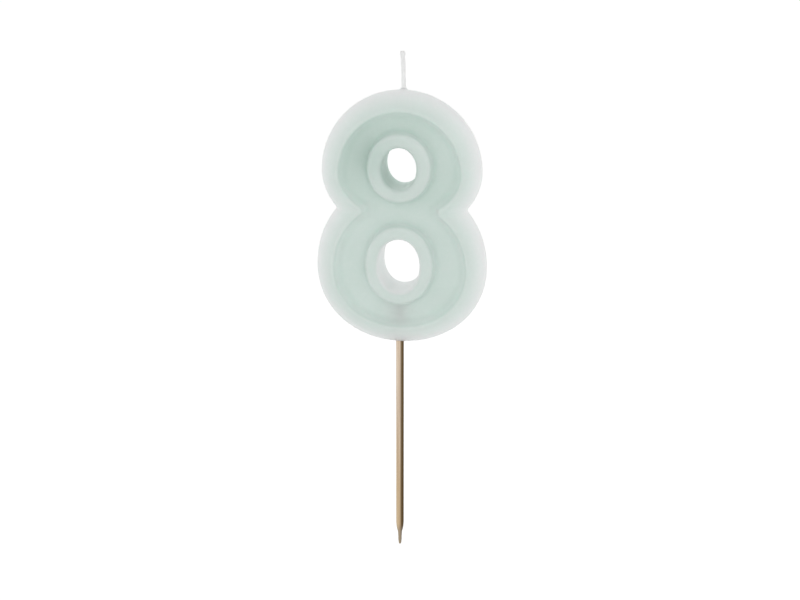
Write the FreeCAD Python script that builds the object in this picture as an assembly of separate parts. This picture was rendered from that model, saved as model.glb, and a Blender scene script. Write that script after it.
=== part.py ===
import FreeCAD, Part
import math
import os

# Number birthday candle: a figure eight cast in wax, its wick, and the bamboo pick that goes into a cake.
# Millimetres. +Z is up and -Y is the front. The origin is on the pick's axis, where it enters the wax.

# The wax figure. Its two lobes are ovals, each with its own height above and below its widest level.
FIGURE_X = 0.55  # the figure's axis stands this far to the right of the pick
UPPER_LEVEL = 54.8
UPPER_HALF_WIDTH = 25.2
UPPER_RISE = 25.4
UPPER_DROP = 20.1
LOWER_LEVEL = 24.5
LOWER_HALF_WIDTH = 27.0
LOWER_RISE = 27.5
LOWER_DROP = 24.5

# Across its thickness the figure swells to its outline at mid-depth and draws in to a crest at each face.
CREST_DEPTH = 6.6  # from mid-depth to the crest
CREST_INSET = 5.9  # from the outline to the crest
CREST_FLAT = 0.5
RIM_SWELL = 2.2  # power of the rim's curve: higher is fuller
RIM_STEPS = 3
WALL_RUN = 1.8  # how far in from the crest the dish's wall ends
WALL_FOOT_DEPTH = 4.0  # from mid-depth to the foot of that wall
DISH_DEPTH = 3.4  # from mid-depth to the dish's floor at the foot of a ring

# A raised ring stands in each lobe, round its hole: half-width and half-height of both.
RING_DEPTH = 8.0  # from mid-depth to a ring's face
RING_FOOT = 0.6  # how far a ring spreads at its foot
RING_EDGE = 0.4
UPPER_RING = (9.75, 10.5)
UPPER_RING_LEVEL = 56.9
UPPER_HOLE = (5.35, 6.45)
UPPER_HOLE_LEVEL = 56.65
LOWER_RING = (10.5, 12.3)
LOWER_RING_LEVEL = 26.3
LOWER_HOLE = (6.35, 8.3)
LOWER_HOLE_LEVEL = 26.1
HOLE_EDGE = 0.7

# Between the rings a trough joins the two dishes at the waist.
TROUGH_TOP = 11.6
TROUGH_FLOOR = 9.8
TROUGH_DEPTH = 3.9
TROUGH_LEVELS = (36.0, 49.0)

# The pick: a round bamboo stick with a stepped point below and a tapered end in the figure's socket.
PICK_RADIUS = 1.25
PICK_TOP_RADIUS = 1.1
SOCKET_DEPTH = 12.5
SOCKET_CLEARANCE = 0.03
PICK_STRAIGHT = 62.5  # of plain round shaft below the wax
# From the shaft's end to the tip: the length below the shaft and the radius of each break in the point.
PICK_POINT = ((1.8, 1.12), (2.9, 0.88), (3.3, 0.7), (5.4, 0.56), (6.3, 0.57), (8.1, 0.2))

# The wick: three plaited cotton yarns in a coat of wax, leaning a little to the left.
WICK_X = 1.15  # where it leaves the figure
WICK_LEAN = 1.8  # degrees
WICK_BURIED = 12.8
WICK_EXPOSED = 11.5
COAT_RADIUS = 0.8
COAT_BORE = 0.71
COAT_BEAD_RADIUS = 0.95
COAT_BEAD_HEIGHT = 1.3
WICK_GAP = 0.01  # between the coat and the wax cast round it
YARN_RADIUS = 0.22  # of its level section
YARN_SWING = 0.45  # side to side in the plait
YARN_WEAVE = 0.32  # front to back in the plait
YARN_PITCH = 4.0
YARN_STEPS = 8  # points of each yarn's path in a pitch
YARN_TUFT = 0.3  # of bare yarn past the coat
MENISCUS_RADIUS = 1.5  # wax drawn up round the wick's foot
MENISCUS_HEIGHT = 0.8
MENISCUS_LIP = 1.0


def vector(x, y, z):
    return FreeCAD.Vector(x, y, z)


def oval(half_width, rise, drop, level, y):
    """A closed outline at one depth: half an ellipse above its level and half of another below."""
    right, left = vector(1, 0, 0), vector(-1, 0, 0)
    edges = []
    for start, middle, end, height in (
        (right, vector(0, 0, 1), left, rise),
        (left, vector(0, 0, -1), right, drop),
    ):
        stretch = FreeCAD.Matrix()
        stretch.scale(half_width, 1.0, height)
        stretch.move(vector(FIGURE_X, y, level))
        edges.append(Part.Arc(start, middle, end).toShape().transformGeometry(stretch).Edges[0])
    return Part.Wire(edges)


def through_depth(sections):
    """A ruled solid through ovals stated as (half-width, rise, drop, level, y)."""
    return Part.makeLoft([oval(*section) for section in sections], True, True)


def both_faces(front):
    """A front-face tool with its mirror image for the back face."""
    return [front, front.mirror(vector(0, 0, 0), vector(0, 1, 0))]


def lobe(half_width, rise, drop, level):
    """One lobe of the figure as a pillow: widest at mid-depth, with flat faces inside its crests."""
    wires = []
    for step in range(-RIM_STEPS, RIM_STEPS + 1):
        share = step / RIM_STEPS
        inset = CREST_INSET * abs(share) ** RIM_SWELL
        wires.append(oval(half_width - inset, rise - inset, drop - inset, level, CREST_DEPTH * share))
    return Part.makeLoft(wires, True, False)


def dish(half_width, rise, drop, level, ring, ring_level):
    """A lobe's hollow on both faces: a steep wall inside its crest and a gentle floor to its ring."""
    inset = CREST_INSET + CREST_FLAT
    mouth = (half_width - inset, rise - inset, drop - inset, level)
    inset += WALL_RUN
    wall_foot = (half_width - inset, rise - inset, drop - inset, level)
    ring_foot = (ring[0] + RING_FOOT, ring[1] + RING_FOOT, ring[1] + RING_FOOT, ring_level)
    sections = [
        (*mouth, -CREST_DEPTH - 1),
        (*mouth, -CREST_DEPTH),
        (*wall_foot, -WALL_FOOT_DEPTH),
        (*ring_foot, -DISH_DEPTH),
    ]
    return both_faces(through_depth(sections))


def waist_trough():
    """The hollow that joins the two dishes between the rings, on both faces."""
    corners = [
        vector(FIGURE_X + x, y, TROUGH_LEVELS[0])
        for x, y in (
            (-TROUGH_TOP, -CREST_DEPTH - 1),
            (-TROUGH_TOP, -CREST_DEPTH),
            (-TROUGH_FLOOR, -TROUGH_DEPTH),
            (TROUGH_FLOOR, -TROUGH_DEPTH),
            (TROUGH_TOP, -CREST_DEPTH),
            (TROUGH_TOP, -CREST_DEPTH - 1),
        )
    ]
    profile = Part.Face(Part.makePolygon(corners + corners[:1]))
    return both_faces(profile.extrude(vector(0, 0, TROUGH_LEVELS[1] - TROUGH_LEVELS[0])))


def ring(size, level):
    """A ring boss that stands on both faces, drafted from its foot, before its hole is cut."""
    spread = ((RING_DEPTH, -RING_EDGE), (RING_DEPTH - RING_EDGE, 0.0), (DISH_DEPTH - 1, RING_FOOT))
    stations = [(-y, grow) for y, grow in spread] + [(y, grow) for y, grow in reversed(spread)]
    width, height = size
    return through_depth([(width + g, height + g, height + g, level, y) for y, g in stations])


def hole(size, level):
    """A hole right through, eased at both mouths."""
    flare = ((RING_DEPTH + HOLE_EDGE, 2 * HOLE_EDGE), (RING_DEPTH - HOLE_EDGE, 0.0))
    stations = [(-y, grow) for y, grow in flare] + [(y, grow) for y, grow in reversed(flare)]
    width, height = size
    return through_depth([(width + g, height + g, height + g, level, y) for y, g in stations])


def turned(profile):
    """A solid turned about Z from (radius, height) points, closed along its axis where it isn't a tube."""
    points = [vector(radius, 0, height) for radius, height in profile]
    face = Part.Face(Part.makePolygon(points + points[:1]))
    return face.revolve(vector(0, 0, 0), vector(0, 0, 1), 360)


def figure_top():
    """The height of the figure's crown."""
    return UPPER_LEVEL + UPPER_RISE


def stand_wick(shape):
    """Carries a wick piece from its own axis, with its lower end at zero, to its place in the figure."""
    placed = shape.copy()
    placed.translate(vector(0, 0, -WICK_BURIED))
    placed.rotate(vector(0, 0, 0), vector(0, 1, 0), -WICK_LEAN)
    placed.translate(vector(WICK_X, 0, figure_top()))
    return placed


def socket():
    """The tapered blind socket for the pick."""
    mouth = PICK_RADIUS + SOCKET_CLEARANCE
    end = PICK_TOP_RADIUS + SOCKET_CLEARANCE
    slope = (mouth - end) / SOCKET_DEPTH
    return Part.makeCone(
        mouth + slope, end, SOCKET_DEPTH + SOCKET_CLEARANCE + 1, vector(0, 0, -1), vector(0, 0, 1)
    )


def meniscus():
    """The small skirt of wax drawn up round the wick's foot."""
    slope = (MENISCUS_RADIUS - MENISCUS_LIP) / MENISCUS_HEIGHT
    foot = vector(0, 0, WICK_BURIED - 1)
    skirt = Part.makeCone(MENISCUS_RADIUS + slope, MENISCUS_LIP, MENISCUS_HEIGHT + 1, foot, vector(0, 0, 1))
    return stand_wick(skirt)


def wax_figure():
    """The figure eight in one casting, with its dished faces, rings, socket and wick channel."""
    body = lobe(UPPER_HALF_WIDTH, UPPER_RISE, UPPER_DROP, UPPER_LEVEL)
    body = body.fuse(lobe(LOWER_HALF_WIDTH, LOWER_RISE, LOWER_DROP, LOWER_LEVEL))
    body = body.cut(
        dish(UPPER_HALF_WIDTH, UPPER_RISE, UPPER_DROP, UPPER_LEVEL, UPPER_RING, UPPER_RING_LEVEL)
        + dish(LOWER_HALF_WIDTH, LOWER_RISE, LOWER_DROP, LOWER_LEVEL, LOWER_RING, LOWER_RING_LEVEL)
        + waist_trough()
    )
    body = body.fuse([ring(UPPER_RING, UPPER_RING_LEVEL), ring(LOWER_RING, LOWER_RING_LEVEL), meniscus()])
    holes = [hole(UPPER_HOLE, UPPER_HOLE_LEVEL), hole(LOWER_HOLE, LOWER_HOLE_LEVEL)]
    channel = Part.makeCylinder(COAT_RADIUS + WICK_GAP, WICK_BURIED + MENISCUS_HEIGHT + 1)
    return body.cut(holes + [socket(), stand_wick(channel)])


def bamboo_pick():
    """The round pick, from its blunt end in the socket down to its stepped point."""
    profile = [(0, SOCKET_DEPTH), (PICK_TOP_RADIUS, SOCKET_DEPTH), (PICK_RADIUS, 0)]
    profile.append((PICK_RADIUS, -PICK_STRAIGHT))
    profile += [(radius, -PICK_STRAIGHT - below) for below, radius in PICK_POINT]
    profile.append((0, profile[-1][1]))
    return turned(profile)


def wick_coat():
    """The tube of wax that the yarns are dipped in, with a bead at its tip."""
    top = WICK_BURIED + WICK_EXPOSED
    bead = top - COAT_BEAD_HEIGHT
    return turned(
        [
            (COAT_BORE, 0),
            (COAT_RADIUS, 0),
            (COAT_RADIUS, bead),
            (COAT_BEAD_RADIUS, bead + 0.3 * COAT_BEAD_HEIGHT),
            (COAT_BEAD_RADIUS, top - 0.2 * COAT_BEAD_HEIGHT),
            (COAT_RADIUS, top),
            (COAT_BORE, top),
        ]
    )


def wick_yarn(number):
    """One of the three yarns, which swings from side to side, over one neighbour and under the other."""
    length = WICK_BURIED + WICK_EXPOSED + YARN_TUFT
    count = round(YARN_STEPS * length / YARN_PITCH)
    sections = []
    for step in range(count + 1):
        z = length * step / count
        turn = 2 * math.pi * (z / YARN_PITCH + number / 3)
        centre = vector(YARN_SWING * math.sin(turn), YARN_WEAVE * math.sin(2 * turn), z)
        sections.append(Part.Wire(Part.makeCircle(YARN_RADIUS, centre)))
    return Part.makeLoft(sections, True, False)


def export(name, shape):
    """Writes a node's one solid, and prints how it stands."""
    solids = shape.removeSplitter().Solids
    print(name, "solids", len(solids), "valid", solids[0].isValid(), "volume", round(solids[0].Volume, 3))
    solids[0].exportStep("parts/" + name + ".step")


os.makedirs("parts", exist_ok=True)
export("wax_figure", wax_figure())
export("bamboo_pick", bamboo_pick())
export("wick_coat", stand_wick(wick_coat()))
for yarn in range(3):
    export(f"wick_yarn_{yarn + 1}", stand_wick(wick_yarn(yarn)))
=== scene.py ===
import math

import bpy
import numpy as np
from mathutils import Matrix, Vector


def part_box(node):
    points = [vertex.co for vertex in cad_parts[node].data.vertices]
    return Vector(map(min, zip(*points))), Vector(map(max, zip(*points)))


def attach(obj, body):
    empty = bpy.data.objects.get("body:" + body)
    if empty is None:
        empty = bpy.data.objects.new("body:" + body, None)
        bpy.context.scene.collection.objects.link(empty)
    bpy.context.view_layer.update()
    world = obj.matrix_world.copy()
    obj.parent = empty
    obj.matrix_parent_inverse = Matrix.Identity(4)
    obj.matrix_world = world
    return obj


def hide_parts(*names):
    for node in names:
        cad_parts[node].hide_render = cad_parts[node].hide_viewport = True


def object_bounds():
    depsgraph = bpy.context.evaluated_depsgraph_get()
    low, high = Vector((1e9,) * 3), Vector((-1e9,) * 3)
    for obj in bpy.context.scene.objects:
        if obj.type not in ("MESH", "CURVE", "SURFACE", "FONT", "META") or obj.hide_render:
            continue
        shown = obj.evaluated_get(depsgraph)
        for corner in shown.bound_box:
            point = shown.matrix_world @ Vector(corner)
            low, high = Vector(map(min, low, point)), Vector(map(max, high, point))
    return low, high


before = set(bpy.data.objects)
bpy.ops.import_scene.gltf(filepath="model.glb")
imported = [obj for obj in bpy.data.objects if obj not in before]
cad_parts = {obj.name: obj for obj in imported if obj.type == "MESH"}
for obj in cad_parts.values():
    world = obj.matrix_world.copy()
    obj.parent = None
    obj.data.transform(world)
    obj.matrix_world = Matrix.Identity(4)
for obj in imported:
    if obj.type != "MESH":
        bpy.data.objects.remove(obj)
cad_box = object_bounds()

# Everything is in metres, in the CAD frame: +Z up, -Y the front, the origin on the pick's axis at the wax.
MM = 0.001
FIGURE_LOW, FIGURE_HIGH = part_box("wax_figure")
PICK_LOW, PICK_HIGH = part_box("bamboo_pick")
FIGURE_X = (FIGURE_LOW.x + FIGURE_HIGH.x) / 2

# The figure's ovals: half-width, rise above and drop below the widest level, that level, and fullness.
UPPER_LOBE = (25.2 * MM, 25.4 * MM, 20.1 * MM, 54.8 * MM, 2.0)
LOWER_LOBE = (27.0 * MM, 27.5 * MM, 24.5 * MM, 24.5 * MM, 2.08)
UPPER_RING = (9.75 * MM, 10.5 * MM, 10.5 * MM, 56.9 * MM, 2.0)
LOWER_RING = (10.5 * MM, 12.3 * MM, 12.3 * MM, 26.3 * MM, 2.0)
UPPER_HOLE = (5.35 * MM, 6.45 * MM, 6.45 * MM, 56.65 * MM, 2.0)
LOWER_HOLE = (6.35 * MM, 8.3 * MM, 8.3 * MM, 26.1 * MM, 2.1)
DEEPEST_INSET = 0.96  # of an oval's smaller half-size, where the count of insets stops
INSET_STEPS = 9  # of the search for a point's inset

# The figure's section. Depths are from its mid-plane.
RING_DEPTH = FIGURE_HIGH.y
RING_FOOT = 0.6 * MM  # how far a ring spreads down to the dish
CREST_DEPTH = 6.6 * MM
CREST_INSET = 5.9 * MM
RIM_SWELL = 2.2
WALL_SLOPE = 1.45  # of the wall that drops from the crest to the dish's floor
WALL_FOOT_DEPTH = 4.0 * MM
DISH_DEPTH = 3.4 * MM  # at the foot of a ring
WAIST_LEVEL = 42.8 * MM
WAIST_HALF_WIDTH = 12.2 * MM  # of the dish where the two lobes meet
WAIST_HALF_HEIGHT = 6.0 * MM

# How far two surfaces of the figure melt together.
NOTCH_SOFTNESS = 1.0 * MM
WAIST_SOFTNESS = 0.6 * MM
CREST_SOFTNESS = 0.8 * MM
WALL_SOFTNESS = 1.2 * MM
FOOT_SOFTNESS = 1.2 * MM
RING_SOFTNESS = 1.2 * MM
HOLE_SOFTNESS = 1.8 * MM
SKIRT_SOFTNESS = 0.9 * MM
SOCKET_SOFTNESS = 0.5 * MM

# The socket that the pick sits in, and the skirt of wax round the foot of the wick.
SOCKET_MOUTH_RADIUS = 1.36 * MM
SOCKET_END_RADIUS = 1.2 * MM
SOCKET_DEPTH = PICK_HIGH.z
SOCKET_END_GAP = 0.1 * MM
SKIRT_RADIUS = 0.95 * MM
SKIRT_RISE = 0.55 * MM
SKIRT_BURIED = 3.0 * MM

# The cast surface's waves, always inward, and the figure's mesh.
UNEVENNESS = 0.05 * MM
WAVE_COUNT = 7
WAVE_RATE = 380.0  # radians in a metre
CELL = 0.42 * MM
SETTLING = (0.5, 0.5, 0.5, 0.0)  # how far each pass evens out the mesh's points
SETTLING_STEP = 0.3 * MM

# Painted light, which makes the wax paler: all round its rim, for light through the thin edge, and in the
# dish, on the lower hole's wall and in the socket, against their shade.
UPPER_DISH_PAINTED_LIGHT = 0.18
LOWER_DISH_EXTRA = 0.1
DISH_TOP_DEPTH = 5.5 * MM
LOWER_HOLE_PAINTED_LIGHT = 0.9
HOLE_WALL_BAND = 0.9 * MM
SOCKET_REACH = 1.6 * MM
SOCKET_OVERRUN = 0.5 * MM

# Painted shade, which makes the wax deeper in colour: at the upper left, on the upper hole's left wall, and
# in the mouth.
SHADE_PATCH_CENTRE = (-10.5 * MM, 61.0 * MM)
SHADE_PATCH_SPREAD = (7.0 * MM, 9.0 * MM)
LEFT_WALL_SPREAD = 4.0 * MM
MOUTH_HEIGHT = 3.0 * MM

# The wick: where it leaves the figure, its lean, and its parts as in the CAD model.
WICK_FOOT = Vector((1.15 * MM, 0.0, 80.2 * MM))
WICK_LEAN = math.radians(1.8)
WICK_SWAY = 0.12 * MM
WICK_BURIED = 12.8 * MM
WICK_EXPOSED = 11.5 * MM
COAT_RADIUS = 0.8 * MM
COAT_WAIST = 0.1  # how much thinner the coat is half-way up
COAT_FLATNESS = 0.92
COAT_RELIEF = 0.03 * MM  # of the plait below it
COAT_LUMPS = 0.012 * MM
COAT_LUMP_RATES = (900.0, 1400.0)  # radians in a metre
COAT_RINGS = 190
COAT_SIDES = 48
COAT_TIP_LENGTH = 0.12 * MM
COAT_TIP = ((0.04 * MM, 0.9), (0.0, 0.72), (0.05 * MM, 0.4))  # drop below the top, and share of the radius
BEAD_SWELL = 0.12 * MM
BEAD_DROP = 0.7 * MM
BEAD_SPREAD = 0.6 * MM
YARN_RADIUS = 0.21 * MM
YARN_SWING = 0.45 * MM
YARN_WEAVE = 0.32 * MM
YARN_PITCH = 4.0 * MM
YARN_TUFT = 0.3 * MM
YARN_END = 0.12 * MM  # over which a cut end rounds off
YARN_TWIST_RATE = 7000.0  # of its fibres, in radians in a metre
YARN_RINGS = 260
YARN_SIDES = 20

# The pick: its plain height and radius in mm, from its point to its blunt end in the socket.
PICK_PROFILE = (
    (-70.6, 0.1),
    (-70.5, 0.3),
    (-70.1, 0.44),
    (-68.8, 0.57),
    (-67.9, 0.56),
    (-65.9, 0.7),
    (-65.7, 0.77),
    (-65.4, 0.88),
    (-64.3, 1.12),
    (-62.6, 1.248),
    (0.0, 1.248),
    (12.2, 1.1),
    (12.45, 1.05),
    (12.5, 0.9),
)
PICK_BLUNT_DROPS = (0.0, 0.05 * MM, 0.12 * MM, 0.2 * MM)
PICK_SHAFT_TOP = PICK_HIGH.z - 0.3 * MM
PICK_SHAFT_END = -62.5 * MM
PICK_SHAFT_RINGS = 90
PICK_POINT_RINGS = 70
PICK_SIDES = 72
PICK_SHOULDER = -65.6 * MM
SHOULDER_SPREAD = 1.2 * MM
SHOULDER_RAGGEDNESS = 0.22 * MM
GRAIN_DEPTH = 0.014  # of the radius
GRAIN_LENGTHS = 5  # along the pick, each with its own fibres

# Colours.
MINT_DARK = (0.605, 0.70, 0.655)
MINT_LIGHT = (0.64, 0.725, 0.685)
# The tint of the painted shade, and the whitish colour of the painted light.
PAINTED_SHADE_TINT = (0.82, 0.87, 0.85)
PAINTED_LIGHT_COLOUR = (0.85, 0.865, 0.86)
BLOOM_TINT = (1.03, 1.02, 1.025)
COAT_DARK = (0.86, 0.865, 0.86)
COAT_LIGHT = (0.92, 0.925, 0.92)
COTTON_DARK = (0.80, 0.79, 0.77)
COTTON_LIGHT = (0.91, 0.905, 0.89)
WOOD_DARK = (0.62, 0.47, 0.35)
WOOD_MIDDLE = (0.80, 0.65, 0.51)
WOOD_LIGHT = (0.90, 0.77, 0.64)
# Painted shade on the pick's right side.
PAINTED_SHADE_BROWN = (0.13, 0.082, 0.032)
OLIVE_TINT = (0.80, 0.67, 0.37)
TIP_GREY = (0.28, 0.25, 0.21)
DARK_TONE = (0.86, 0.84, 0.82)
LIGHT_TONE = (1.05, 1.04, 1.0)
WHITE = (1.0, 1.0, 1.0)

# The camera stands in front, a little to the right and above.
CAMERA_AZIMUTH = 7.8
CAMERA_ELEVATION = 15.4
CAMERA_DISTANCE = 0.48
CAMERA_LENS = 68.0
AIM_SHARE = 0.516  # of the object's height, from its lowest point

# The floor is well below the candle, which is held up clear of it, and it glows behind the candle.
FLOOR_SIZE = 20.0
FLOOR_DROP = 0.12
FLOOR_GLOW = 0.4
GLOW_START = 0.05
GLOW_FULL = 0.18

# Soft boxes round the candle: name, place, size and watts. The room lights it evenly as well.
LIGHTS = (
    ("front", (0.12, -0.95, 0.2), 0.5, 1.25),
    ("back", (-0.15, 0.7, 0.5), 0.5, 0.62),
)
WALL_STRENGTH = 0.97
CEILING_STRENGTH = 0.61
WALL_TOP = 0.3  # the upward share of a direction where the wall begins to turn into the ceiling
CEILING_START = 0.6

random = np.random.default_rng(8)
WAVES = [(random.normal(size=3) * WAVE_RATE, random.uniform(0, 2 * math.pi)) for _ in range(WAVE_COUNT)]


def link(obj):
    """Puts an object in the scene."""
    bpy.context.scene.collection.objects.link(obj)
    return obj


def unit(values):
    """Values held between 0 and 1."""
    return np.clip(values, 0, 1)


def turns(count):
    """Angles once round, without the last."""
    return np.linspace(0, 2 * math.pi, count, endpoint=False)


# Materials


def new_material(name):
    """A material, its node tree and its Principled shader."""
    material = bpy.data.materials.new(name)
    material.use_nodes = True
    tree = material.node_tree
    return material, tree, tree.nodes["Principled BSDF"]


def add_node(tree, kind, **values):
    """A node with its input values set by name."""
    node = tree.nodes.new(kind)
    for key, value in values.items():
        node.inputs[key].default_value = value
    return node


def noise(tree, scale, detail=3.0, stretch=(1.0, 1.0, 1.0)):
    """Noise from 0 to 1 in the object's own space, in metres, optionally stretched along an axis."""
    place = tree.nodes.new("ShaderNodeTexCoord")
    mapping = add_node(tree, "ShaderNodeMapping", Scale=stretch)
    texture = add_node(tree, "ShaderNodeTexNoise", Scale=scale, Detail=detail)
    tree.links.new(place.outputs["Object"], mapping.inputs["Vector"])
    tree.links.new(mapping.outputs["Vector"], texture.inputs["Vector"])
    return texture.outputs["Fac"]


def along(tree, axis, start, end, first=0.0, last=1.0, space="Object"):
    """A value that goes from first to last as X, Y or Z goes from start to end, and is level outside that."""
    place = tree.nodes.new("ShaderNodeTexCoord")
    split = tree.nodes.new("ShaderNodeSeparateXYZ")
    span = {"From Min": start, "From Max": end, "To Min": first, "To Max": last}
    change = add_node(tree, "ShaderNodeMapRange", **span)
    tree.links.new(place.outputs[space], split.inputs["Vector"])
    tree.links.new(split.outputs[axis], change.inputs["Value"])
    return change.outputs["Result"]


def stored(tree, name):
    """A value kept on the mesh's points."""
    node = tree.nodes.new("ShaderNodeAttribute")
    node.attribute_name = name
    return node.outputs["Fac"]


def ramp(tree, source, *stops):
    """A colour ramp over a 0 to 1 value, from (position, colour) stops."""
    node = tree.nodes.new("ShaderNodeValToRGB")
    while len(node.color_ramp.elements) < len(stops):
        node.color_ramp.elements.new(0.5)
    for element, (position, colour) in zip(node.color_ramp.elements, stops):
        element.position = position
        element.color = (*colour, 1.0)
    tree.links.new(source, node.inputs["Fac"])
    return node.outputs["Color"]


def mix(tree, factor, first, second, blend="MIX"):
    """Two colours mixed by a factor, which is a number or a node's output."""
    node = tree.nodes.new("ShaderNodeMix")
    node.data_type = "RGBA"
    node.blend_type = blend
    for socket, value in ((node.inputs[0], factor), (node.inputs[6], first), (node.inputs[7], second)):
        if isinstance(value, bpy.types.NodeSocket):
            tree.links.new(value, socket)
        else:
            socket.default_value = value if isinstance(value, float) else (*value, 1.0)
    return node.outputs[2]


def roughness(tree, shader, source, first, last):
    """Roughness that goes from first to last with a 0 to 1 value."""
    grey = ramp(tree, source, (0.3, (first,) * 3), (0.7, (last,) * 3))
    tree.links.new(grey, shader.inputs["Roughness"])


def bump(tree, shader, *layers):
    """Bump from (height output, strength, distance in metres) layers, one over another."""
    normal = None
    for height, strength, distance in layers:
        node = add_node(tree, "ShaderNodeBump", Strength=strength, Distance=distance)
        tree.links.new(height, node.inputs["Height"])
        if normal is not None:
            tree.links.new(normal, node.inputs["Normal"])
        normal = node.outputs["Normal"]
    tree.links.new(normal, shader.inputs["Normal"])


def coloured_wax():
    """Mint wax, faintly mottled, with a soft satin skin; painted light makes it paler where the casting thins
    towards its edge and in a few other places, and painted shade deepens it in a few.
    """
    material, tree, shader = new_material("coloured_wax")
    mint = ramp(tree, noise(tree, 90.0), (0.3, MINT_DARK), (0.7, MINT_LIGHT))
    # Painted shade deepens the mint and painted light makes it paler, each as much as its stored value says.
    painted_shade_mint = mix(tree, 1.0, mint, PAINTED_SHADE_TINT, "MULTIPLY")
    mint_with_painted_shade = mix(tree, stored(tree, "painted_shade"), mint, painted_shade_mint)
    body = mix(tree, stored(tree, "pale"), mint_with_painted_shade, PAINTED_LIGHT_COLOUR)
    bloom = ramp(tree, noise(tree, 900.0, 5.0), (0.45, WHITE), (0.8, BLOOM_TINT))
    tree.links.new(mix(tree, 1.0, body, bloom, "MULTIPLY"), shader.inputs["Base Color"])
    roughness(tree, shader, noise(tree, 400.0), 0.42, 0.56)
    shader.inputs["IOR"].default_value = 1.44
    shader.inputs["Specular IOR Level"].default_value = 0.4
    shader.inputs["Subsurface Weight"].default_value = 0.85
    shader.inputs["Subsurface Radius"].default_value = (0.9, 1.0, 0.97)
    shader.inputs["Subsurface Scale"].default_value = 11.0 * MM
    bump(tree, shader, (noise(tree, 160.0, 2.0), 0.25, 0.1 * MM), (noise(tree, 2600.0, 4.0), 0.12, 0.02 * MM))
    return material


def white_wax():
    """The wick's coat: whitish wax over a plait, a little uneven."""
    material, tree, shader = new_material("white_wax")
    colour = ramp(tree, noise(tree, 700.0), (0.3, COAT_DARK), (0.7, COAT_LIGHT))
    tree.links.new(colour, shader.inputs["Base Color"])
    roughness(tree, shader, noise(tree, 1500.0), 0.45, 0.65)
    shader.inputs["Subsurface Weight"].default_value = 0.5
    shader.inputs["Subsurface Radius"].default_value = (1.0, 1.0, 1.0)
    shader.inputs["Subsurface Scale"].default_value = 0.5 * MM
    bump(tree, shader, (noise(tree, 3000.0, 4.0), 0.4, 0.03 * MM))
    return material


def cotton():
    """Off-white cotton yarn with fine fibres along it."""
    material, tree, shader = new_material("cotton")
    fibres = noise(tree, 9000.0, 3.0, (1.0, 1.0, 0.12))
    colour = ramp(tree, fibres, (0.35, COTTON_DARK), (0.65, COTTON_LIGHT))
    tree.links.new(colour, shader.inputs["Base Color"])
    roughness(tree, shader, fibres, 0.8, 0.95)
    shader.inputs["Sheen Weight"].default_value = 0.3
    bump(tree, shader, (fibres, 0.6, 0.03 * MM))
    return material


def bamboo():
    """Bamboo: pale and brown fibres, painted shade that darkens its right side, olive low down, and a greyed
    tip.
    """
    material, tree, shader = new_material("bamboo")
    streaks = noise(tree, 1500.0, 4.0, (1.0, 1.0, 0.02))
    patches = noise(tree, 600.0, 2.0, (1.0, 1.0, 0.03))
    wood = ramp(tree, streaks, (0.28, WOOD_DARK), (0.45, WOOD_MIDDLE), (0.7, WOOD_LIGHT))
    # Painted shade: the pick turns dark brown towards its right side.
    right_shaded = mix(tree, along(tree, "X", 0.0, 0.7 * MM), wood, PAINTED_SHADE_BROWN)
    olive = mix(tree, 1.0, right_shaded, OLIVE_TINT, "MULTIPLY")
    lower = mix(tree, along(tree, "Z", -22 * MM, -50 * MM, 0.0, 0.55), right_shaded, olive)
    greyed = mix(tree, along(tree, "Z", -63 * MM, -66 * MM, 0.0, 0.6), lower, TIP_GREY)
    tone = ramp(tree, patches, (0.3, DARK_TONE), (0.7, LIGHT_TONE))
    tree.links.new(mix(tree, 1.0, greyed, tone, "MULTIPLY"), shader.inputs["Base Color"])
    roughness(tree, shader, streaks, 0.65, 0.45)
    shader.inputs["Specular IOR Level"].default_value = 0.15
    bump(tree, shader, (streaks, 0.5, 0.05 * MM))
    return material


# Meshes


def mesh_object(name, points, faces, material, body, node):
    """A smooth-shaded piece that rides on a body and stands for a CAD node."""
    mesh = bpy.data.meshes.new(name)
    mesh.from_pydata(points.tolist(), [], faces)
    mesh.shade_smooth()
    mesh.materials.append(material)
    piece = link(bpy.data.objects.new(name, mesh))
    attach(piece, body)
    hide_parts(node)
    return piece


def store(piece, name, values):
    """Keeps a value for each point of a piece, for its material to read."""
    attribute = piece.data.attributes.new(name, "FLOAT", "POINT")
    attribute.data.foreach_set("value", values.astype(np.float32))


def circles(reach, turn, heights, flatness=1.0):
    """Rings of points round the Z axis, from a radius for each height and angle."""
    levels = np.broadcast_to(heights[:, None], reach.shape)
    return np.stack([reach * np.cos(turn), flatness * reach * np.sin(turn), levels], -1)


def skin(rings):
    """Points and faces of a closed surface through rings of points, with both ends drawn to a point."""
    count, around = rings.shape[:2]
    points = np.vstack([rings.reshape(-1, 3), rings[0].mean(0), rings[-1].mean(0)])
    start, end = count * around, count * around + 1
    last = (count - 1) * around
    faces = []
    for k in range(around):
        following = (k + 1) % around
        faces.append((start, following, k))
        faces.append((end, last + k, last + following))
        for low in range(0, last, around):
            faces.append((low + k, low + following, low + around + following, low + around + k))
    return points, faces


def soft_max(first, second, softness):
    """The larger of two fields, rounded where they cross."""
    share = unit(0.5 + 0.5 * (first - second) / softness)
    return first * share + second * (1 - share) + softness * share * (1 - share)


def soft_min(first, second, softness):
    """The smaller of two fields, rounded where they cross."""
    return -soft_max(-first, -second, softness)


def oval_inset(x, z, oval):
    """How far inside an oval each point lies, counted by ovals drawn at equal insets. Negative outside."""
    half_width, rise, drop, level, power = oval
    across, up = np.abs(x - FIGURE_X), np.abs(z - level)
    height = np.where(z > level, rise, drop)
    deepest = DEEPEST_INSET * np.minimum(half_width, height)
    inset = np.zeros_like(x)
    for _ in range(INSET_STEPS):
        a, b = half_width - inset, height - inset
        wide, tall = (across / a) ** power, (up / b) ** power
        slope = power * (wide / a + tall / b) + 1e-6
        inset = np.minimum(inset - (wide + tall - 1) / slope, deepest)
    return inset


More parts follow.
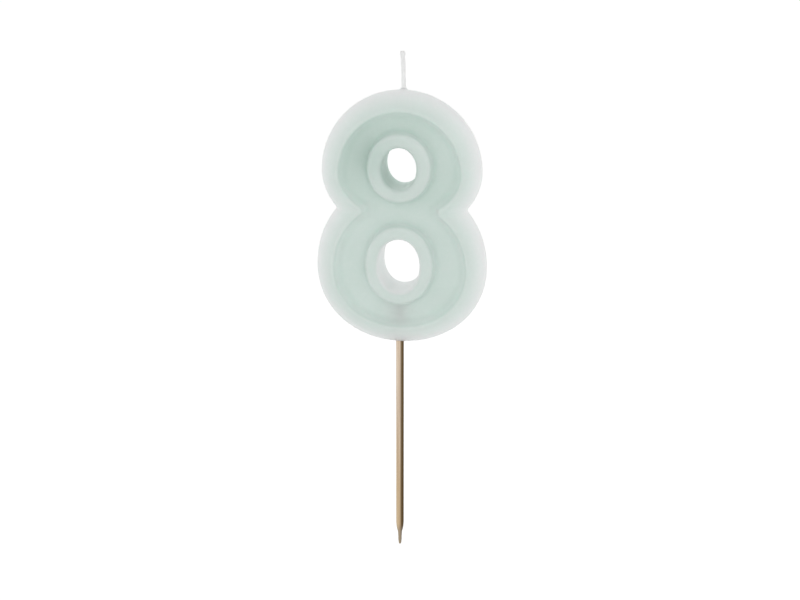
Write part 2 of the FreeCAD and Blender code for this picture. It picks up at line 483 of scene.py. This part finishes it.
def figure_plan(x, z):
    """The figure's front view: insets from outline, rings and holes, and the dish's two depths."""
    outline = soft_max(oval_inset(x, z, UPPER_LOBE), oval_inset(x, z, LOWER_LOBE), NOTCH_SOFTNESS)
    rings = [oval_inset(x, z, ring) for ring in (UPPER_RING, LOWER_RING)]
    holes = [oval_inset(x, z, hole) for hole in (UPPER_HOLE, LOWER_HOLE)]
    waist = np.minimum(WAIST_HALF_WIDTH - np.abs(x - FIGURE_X), WAIST_HALF_HEIGHT - np.abs(z - WAIST_LEVEL))
    from_crest = soft_max(outline - CREST_INSET, waist, WAIST_SOFTNESS)
    wall = CREST_DEPTH - WALL_SLOPE * from_crest
    from_wall = np.maximum(from_crest - (CREST_DEPTH - WALL_FOOT_DEPTH) / WALL_SLOPE, 0)
    from_ring = np.maximum(-np.maximum(*rings) - RING_FOOT, 0)
    share = from_wall / (from_wall + from_ring + 0.01 * MM)
    ground = WALL_FOOT_DEPTH - (WALL_FOOT_DEPTH - DISH_DEPTH) * share
    return outline, rings, holes, wall, ground


def unevenness(x, y, z):
    """Slow waves in the cast surface, from nothing to UNEVENNESS."""
    waves = np.zeros(np.broadcast(x, y, z).shape)
    for direction, phase in WAVES:
        waves = waves + np.sin(x * direction[0] + y * direction[1] + z * direction[2] + phase)
    return UNEVENNESS * (0.5 + 0.5 * waves / len(WAVES))


def socket_field(x, y, z):
    """About the distance from the pick's tapered socket: negative in it."""
    radius = SOCKET_MOUTH_RADIUS - (SOCKET_MOUTH_RADIUS - SOCKET_END_RADIUS) * z / SOCKET_DEPTH
    return np.maximum(np.hypot(x, y) - radius, z - SOCKET_DEPTH - SOCKET_END_GAP)


def skirt_field(x, y, z):
    """About the distance from the skirt round the wick's foot: negative in it."""
    skirt = np.maximum(np.hypot(x - WICK_FOOT.x, y) - SKIRT_RADIUS, z - WICK_FOOT.z - SKIRT_RISE)
    return np.maximum(skirt, WICK_FOOT.z - SKIRT_BURIED - z)


def figure_field(x, y, z):
    """About the distance from the figure's surface: negative in the wax."""
    outline, rings, holes, wall, ground = figure_plan(x, z)
    depth = np.abs(y)
    swell = CREST_INSET * (depth / CREST_DEPTH) ** RIM_SWELL
    swell_slope = RIM_SWELL * CREST_INSET / CREST_DEPTH * (depth / CREST_DEPTH) ** (RIM_SWELL - 1)
    rim = (swell - outline) / np.sqrt(1 + swell_slope**2)
    dish = soft_min((depth - wall) / math.hypot(1, WALL_SLOPE), depth - ground, WALL_SOFTNESS)
    wax = soft_max(rim, dish, CREST_SOFTNESS)
    draft = RING_FOOT * (RING_DEPTH - depth) / (RING_DEPTH - DISH_DEPTH)
    for ring in rings:
        boss = soft_max(-ring - draft, depth - RING_DEPTH, RING_SOFTNESS)
        wax = soft_min(wax, boss, FOOT_SOFTNESS)
    for hole in holes:
        wax = soft_max(wax, hole, HOLE_SOFTNESS)
    wax = soft_min(wax, skirt_field(x, y, z), SKIRT_SOFTNESS)
    wax = soft_max(wax, -socket_field(x, y, z), SOCKET_SOFTNESS)
    return wax + unevenness(x, y, z)


def net(field, origin, cell):
    """Points and quads of the zero surface of a field on a grid, one point in each cell that it crosses."""
    inside = field < 0
    corners = [(i, j, k) for i in (0, 1) for j in (0, 1) for k in (0, 1)]
    shape = tuple(n - 1 for n in field.shape)
    cut = [inside[i : i + shape[0], j : j + shape[1], k : k + shape[2]] for i, j, k in corners]
    active = np.any(cut, axis=0) & ~np.all(cut, axis=0)
    cells = np.argwhere(active)
    number = np.full(shape, -1)
    number[active] = np.arange(len(cells))
    total, crossings = np.zeros((len(cells), 3)), np.zeros(len(cells))
    quads = []
    for axis in range(3):
        step = np.eye(3, dtype=int)[axis]
        sides = [np.eye(3, dtype=int)[k] for k in range(3) if k != axis]
        for offset in ((0, 0), (1, 0), (0, 1), (1, 1)):
            base = cells + sides[0] * offset[0] + sides[1] * offset[1]
            low = field[tuple(base.T)]
            high = field[tuple((base + step).T)]
            crossed = (low < 0) != (high < 0)
            share = np.where(crossed, low / np.where(crossed, low - high, 1), 0)
            total[crossed] += (base + step * share[:, None])[crossed]
            crossings += crossed
        ends = [slice(None)] * 3
        starts = [slice(None)] * 3
        ends[axis], starts[axis] = slice(1, None), slice(None, -1)
        edges = np.argwhere(inside[tuple(starts)] != inside[tuple(ends)])
        round_edge = [edges - sides[0] - sides[1], edges - sides[1], edges, edges - sides[0]]
        quad = np.stack([number[tuple(corner.T)] for corner in round_edge], 1)
        outward = inside[tuple(edges.T)] != (axis == 1)
        quads.append(np.where(outward[:, None], quad, quad[:, ::-1]))
    return origin + total / crossings[:, None] * cell, np.vstack(quads)


def settle(points, quads):
    """Evens out a net's points and sets them on the figure's surface."""
    edges = np.vstack([quads[:, [k, (k + 1) % 4]] for k in range(4)])
    edges = np.vstack([edges, edges[:, ::-1]])
    degree = np.bincount(edges[:, 0], minlength=len(points))[:, None]
    tiny = 0.02 * MM
    for even in SETTLING:
        if even:
            beside = points[edges[:, 1]]
            total = np.stack([np.bincount(edges[:, 0], beside[:, k], len(points)) for k in range(3)], 1)
            points = points + even * (total / degree - points)
        for _ in range(2):
            here = figure_field(*points.T)
            ahead = [figure_field(*(points + step).T) for step in np.eye(3) * tiny]
            slope = np.stack([(value - here) / tiny for value in ahead], 1)
            steepness = np.maximum((slope**2).sum(1), 0.1)
            points = points - np.clip(here / steepness, -SETTLING_STEP, SETTLING_STEP)[:, None] * slope
    return points


def painted_light_and_shade(points):
    """How much painted light makes the wax paler and painted shade makes it deeper in colour, at each of the
    figure's points.
    """
    x, y, z = points.T
    outline, _, holes, _, _ = figure_plan(x, z)
    upper_hole_wall, lower_hole_wall = (unit(1 + hole / HOLE_WALL_BAND) for hole in holes)
    rim = unit(1 - outline / CREST_INSET)
    lower_lobe = unit(0.5 + (WAIST_LEVEL - z) / WAIST_HALF_HEIGHT)
    in_dish = unit(0.5 + (DISH_TOP_DEPTH - np.abs(y)) / MM)
    dish = (UPPER_DISH_PAINTED_LIGHT + LOWER_DISH_EXTRA * lower_lobe) * in_dish
    socket = (np.hypot(x, y) < SOCKET_REACH) & (z < SOCKET_DEPTH + SOCKET_OVERRUN)
    mouth = socket & (z < MOUTH_HEIGHT)
    # Painted light: round the rim for light through its thin edge, and in the dish, on the lower hole's wall
    # and along the socket against their shade; none in the mouth.
    pale = np.maximum.reduce([rim, dish, LOWER_HOLE_PAINTED_LIGHT * lower_hole_wall, socket]) * ~mouth
    # Painted shade: a patch at the upper left of the upper dish, the upper hole's left wall, and the socket's
    # mouth.
    across, up = (x - SHADE_PATCH_CENTRE[0]) / SHADE_PATCH_SPREAD[0], (z - SHADE_PATCH_CENTRE[1]) / SHADE_PATCH_SPREAD[1]
    shaded = np.exp(-(across**2) - up**2) * (outline > CREST_INSET)
    left_wall = upper_hole_wall * unit((FIGURE_X - x) / LEFT_WALL_SPREAD)
    return pale, np.maximum.reduce([shaded, left_wall, mouth])


def wax_figure():
    """The figure eight as one closed skin of small quads, with its painted light and painted shade stored on
    its points.
    """
    low = np.array(FIGURE_LOW) - 2.5 * CELL
    counts = np.ceil((np.array(FIGURE_HIGH) - low) / CELL).astype(int) + 4
    x, y, z = (low[k] + CELL * np.arange(counts[k]) for k in range(3))
    field = figure_field(x[:, None, None], y[None, :, None], z[None, None, :])
    points, quads = net(field, low, CELL)
    points = settle(points, quads)
    faces = quads.tolist()
    piece = mesh_object("figure_wax", points, faces, coloured_wax(), "figure", "wax_figure")
    # The painted light and painted shade, kept on the points for the wax material.
    pale, painted_shade = painted_light_and_shade(points)
    store(piece, "pale", pale)
    store(piece, "painted_shade", painted_shade)


def on_wick(points):
    """Carries points from the wick's own axis, with its foot at height zero, to their place on the figure."""
    x, y, z = points[..., 0], points[..., 1], points[..., 2]
    x = x + WICK_SWAY * np.sin(unit(z / WICK_EXPOSED) * math.pi)
    return np.stack(
        [
            WICK_FOOT.x + x * math.cos(WICK_LEAN) - z * math.sin(WICK_LEAN),
            WICK_FOOT.y + y,
            WICK_FOOT.z + x * math.sin(WICK_LEAN) + z * math.cos(WICK_LEAN),
        ],
        -1,
    )


def wick_coat():
    """The waxed outside of the wick, with the plait's relief and a bead of wax at its tip."""
    top = WICK_EXPOSED
    drops, shares = np.array(COAT_TIP).T
    heights = np.concatenate([np.linspace(-WICK_BURIED, top - COAT_TIP_LENGTH, COAT_RINGS), top - drops])
    closing = np.concatenate([np.ones(COAT_RINGS), shares])
    bead = BEAD_SWELL * np.exp(-(((heights - top + BEAD_DROP) / BEAD_SPREAD) ** 2))
    radius = COAT_RADIUS * (1.0 - COAT_WAIST * np.sin(unit(heights / top) * math.pi) ** 0.7) + bead
    turn, level = turns(COAT_SIDES), heights[:, None]
    plait = np.cos(2 * turn) * np.cos(2 * math.pi * level / YARN_PITCH * 1.5)
    lumps = np.sin(3 * turn + COAT_LUMP_RATES[0] * level) * np.sin(COAT_LUMP_RATES[1] * level + 1.0)
    reach = (radius[:, None] - COAT_RELIEF * (1 - plait) + COAT_LUMPS * lumps) * closing[:, None]
    points, faces = skin(on_wick(circles(reach, turn, heights, COAT_FLATNESS)))
    mesh_object("waxed_wick", points, faces, white_wax(), "figure", "wick_coat")


def wick_yarn(number, material):
    """One plaited yarn, twisted from fibres, whose cut end shows past the coat."""
    heights = np.linspace(-WICK_BURIED, WICK_EXPOSED + YARN_TUFT, YARN_RINGS)
    swing = 2 * math.pi * ((heights + WICK_BURIED) / YARN_PITCH + number / 3)
    turn = turns(YARN_SIDES)
    twist = np.cos(4 * turn + YARN_TWIST_RATE * heights[:, None])
    from_end = np.minimum(heights - heights[0], heights[-1] - heights) / YARN_END
    closing = np.sqrt(np.clip(1 - (1 - unit(from_end)) ** 2, 0.05, 1))
    reach = YARN_RADIUS * (0.95 + 0.05 * twist) * closing[:, None]
    sideways = np.stack([YARN_SWING * np.sin(swing), YARN_WEAVE * np.sin(2 * swing), 0 * swing], -1)
    points, faces = skin(on_wick(sideways[:, None, :] + circles(reach, turn, heights)))
    name = f"yarn_{number + 1}"
    mesh_object(name, points, faces, material, "figure", f"wick_{name}")


def pick_grain(count, around):
    """Fibres from 0 to 1 for each ring of the pick, which change slowly along it, and their first row."""
    fibres = random.uniform(0, 1, (GRAIN_LENGTHS + 1, around))
    place = np.linspace(0, GRAIN_LENGTHS - 0.001, count)
    row, part = place.astype(int), (place % 1)[:, None]
    return fibres[row] * (1 - part) + fibres[row + 1] * part, fibres[0]


def bamboo_pick():
    """The pick, with fine fibres along it and a ragged shoulder at its stepped point."""
    blunt = PICK_HIGH.z - np.array(PICK_BLUNT_DROPS)
    shaft = np.linspace(PICK_SHAFT_TOP, PICK_SHAFT_END, PICK_SHAFT_RINGS, endpoint=False)
    point = np.linspace(PICK_SHAFT_END, PICK_LOW.z, PICK_POINT_RINGS)
    heights = np.concatenate([blunt, shaft, point])
    turn = turns(PICK_SIDES)
    grain, first_fibres = pick_grain(len(heights), len(turn))
    near_shoulder = np.exp(-(((heights - PICK_SHOULDER) / SHOULDER_SPREAD) ** 2))
    ragged = SHOULDER_RAGGEDNESS * near_shoulder[:, None] * (first_fibres - 0.5)
    levels, radii = zip(*PICK_PROFILE)
    plain = MM * np.interp((heights[:, None] + ragged) / MM, levels, radii)
    reach = plain * (1 - GRAIN_DEPTH * grain)
    points, faces = skin(circles(reach, turn, heights)[::-1])
    mesh_object("pick", points, faces, bamboo(), "pick", "bamboo_pick")


# Stage, light and camera


def floor():
    """A wide pale floor below the candle that glows behind it, like a lit paper sweep."""
    mesh = bpy.data.meshes.new("floor")
    size, z = FLOOR_SIZE, cad_box[0][2] - FLOOR_DROP
    corners = [(-size, -size, z), (size, -size, z), (size, size, z), (-size, size, z)]
    mesh.from_pydata(corners, [], [(0, 1, 2, 3)])
    material, tree, shader = new_material("pale_floor")
    shader.inputs["Base Color"].default_value = (0.9, 0.9, 0.9, 1.0)
    shader.inputs["Roughness"].default_value = 0.9
    shader.inputs["Emission Color"].default_value = (*WHITE, 1.0)
    glow = along(tree, "Y", GLOW_START, GLOW_FULL, 0.0, FLOOR_GLOW)
    tree.links.new(glow, shader.inputs["Emission Strength"])
    mesh.materials.append(material)
    link(bpy.data.objects.new("floor", mesh))


def soft_light(name, place, size, watts, target):
    """A square soft box that faces its target."""
    light = bpy.data.lights.new(name, "AREA")
    light.size = size
    light.energy = watts
    box = link(bpy.data.objects.new(name, light))
    box.location = place
    box.rotation_euler = (target - box.location).to_track_quat("-Z", "Y").to_euler()


def surroundings():
    """A plain white room, with walls and ceiling of their own brightness."""
    world = bpy.data.worlds.new("room")
    bpy.context.scene.world = world
    world.use_nodes = True
    tree = world.node_tree
    background = tree.nodes["Background"]
    background.inputs["Color"].default_value = (*WHITE, 1.0)
    strength = along(tree, "Z", WALL_TOP, CEILING_START, WALL_STRENGTH, CEILING_STRENGTH, "Generated")
    tree.links.new(strength, background.inputs["Strength"])


def camera(target):
    """The camera, which looks at its target from CAMERA_DISTANCE away."""
    lens = bpy.data.cameras.new("camera")
    lens.lens = CAMERA_LENS
    lens.clip_start = 0.01
    lens.clip_end = 100.0
    stand = link(bpy.data.objects.new("camera", lens))
    azimuth, elevation = math.radians(CAMERA_AZIMUTH), math.radians(CAMERA_ELEVATION)
    level = math.cos(elevation)
    back = Vector((math.sin(azimuth) * level, -math.cos(azimuth) * level, math.sin(elevation)))
    stand.location = target + CAMERA_DISTANCE * back
    stand.rotation_euler = back.to_track_quat("Z", "Y").to_euler()
    bpy.context.scene.camera = stand


low, high = cad_box
aim = Vector((0.0, 0.0, low[2] + AIM_SHARE * (high[2] - low[2])))
camera(aim)
bpy.context.scene.view_settings.view_transform = "Standard"
surroundings()
floor()
for name, place, size, watts in LIGHTS:
    soft_light(name, Vector(place), size, watts, aim)

wax_figure()
wick_coat()
yarn_material = cotton()
for number in range(3):
    wick_yarn(number, yarn_material)
bamboo_pick()
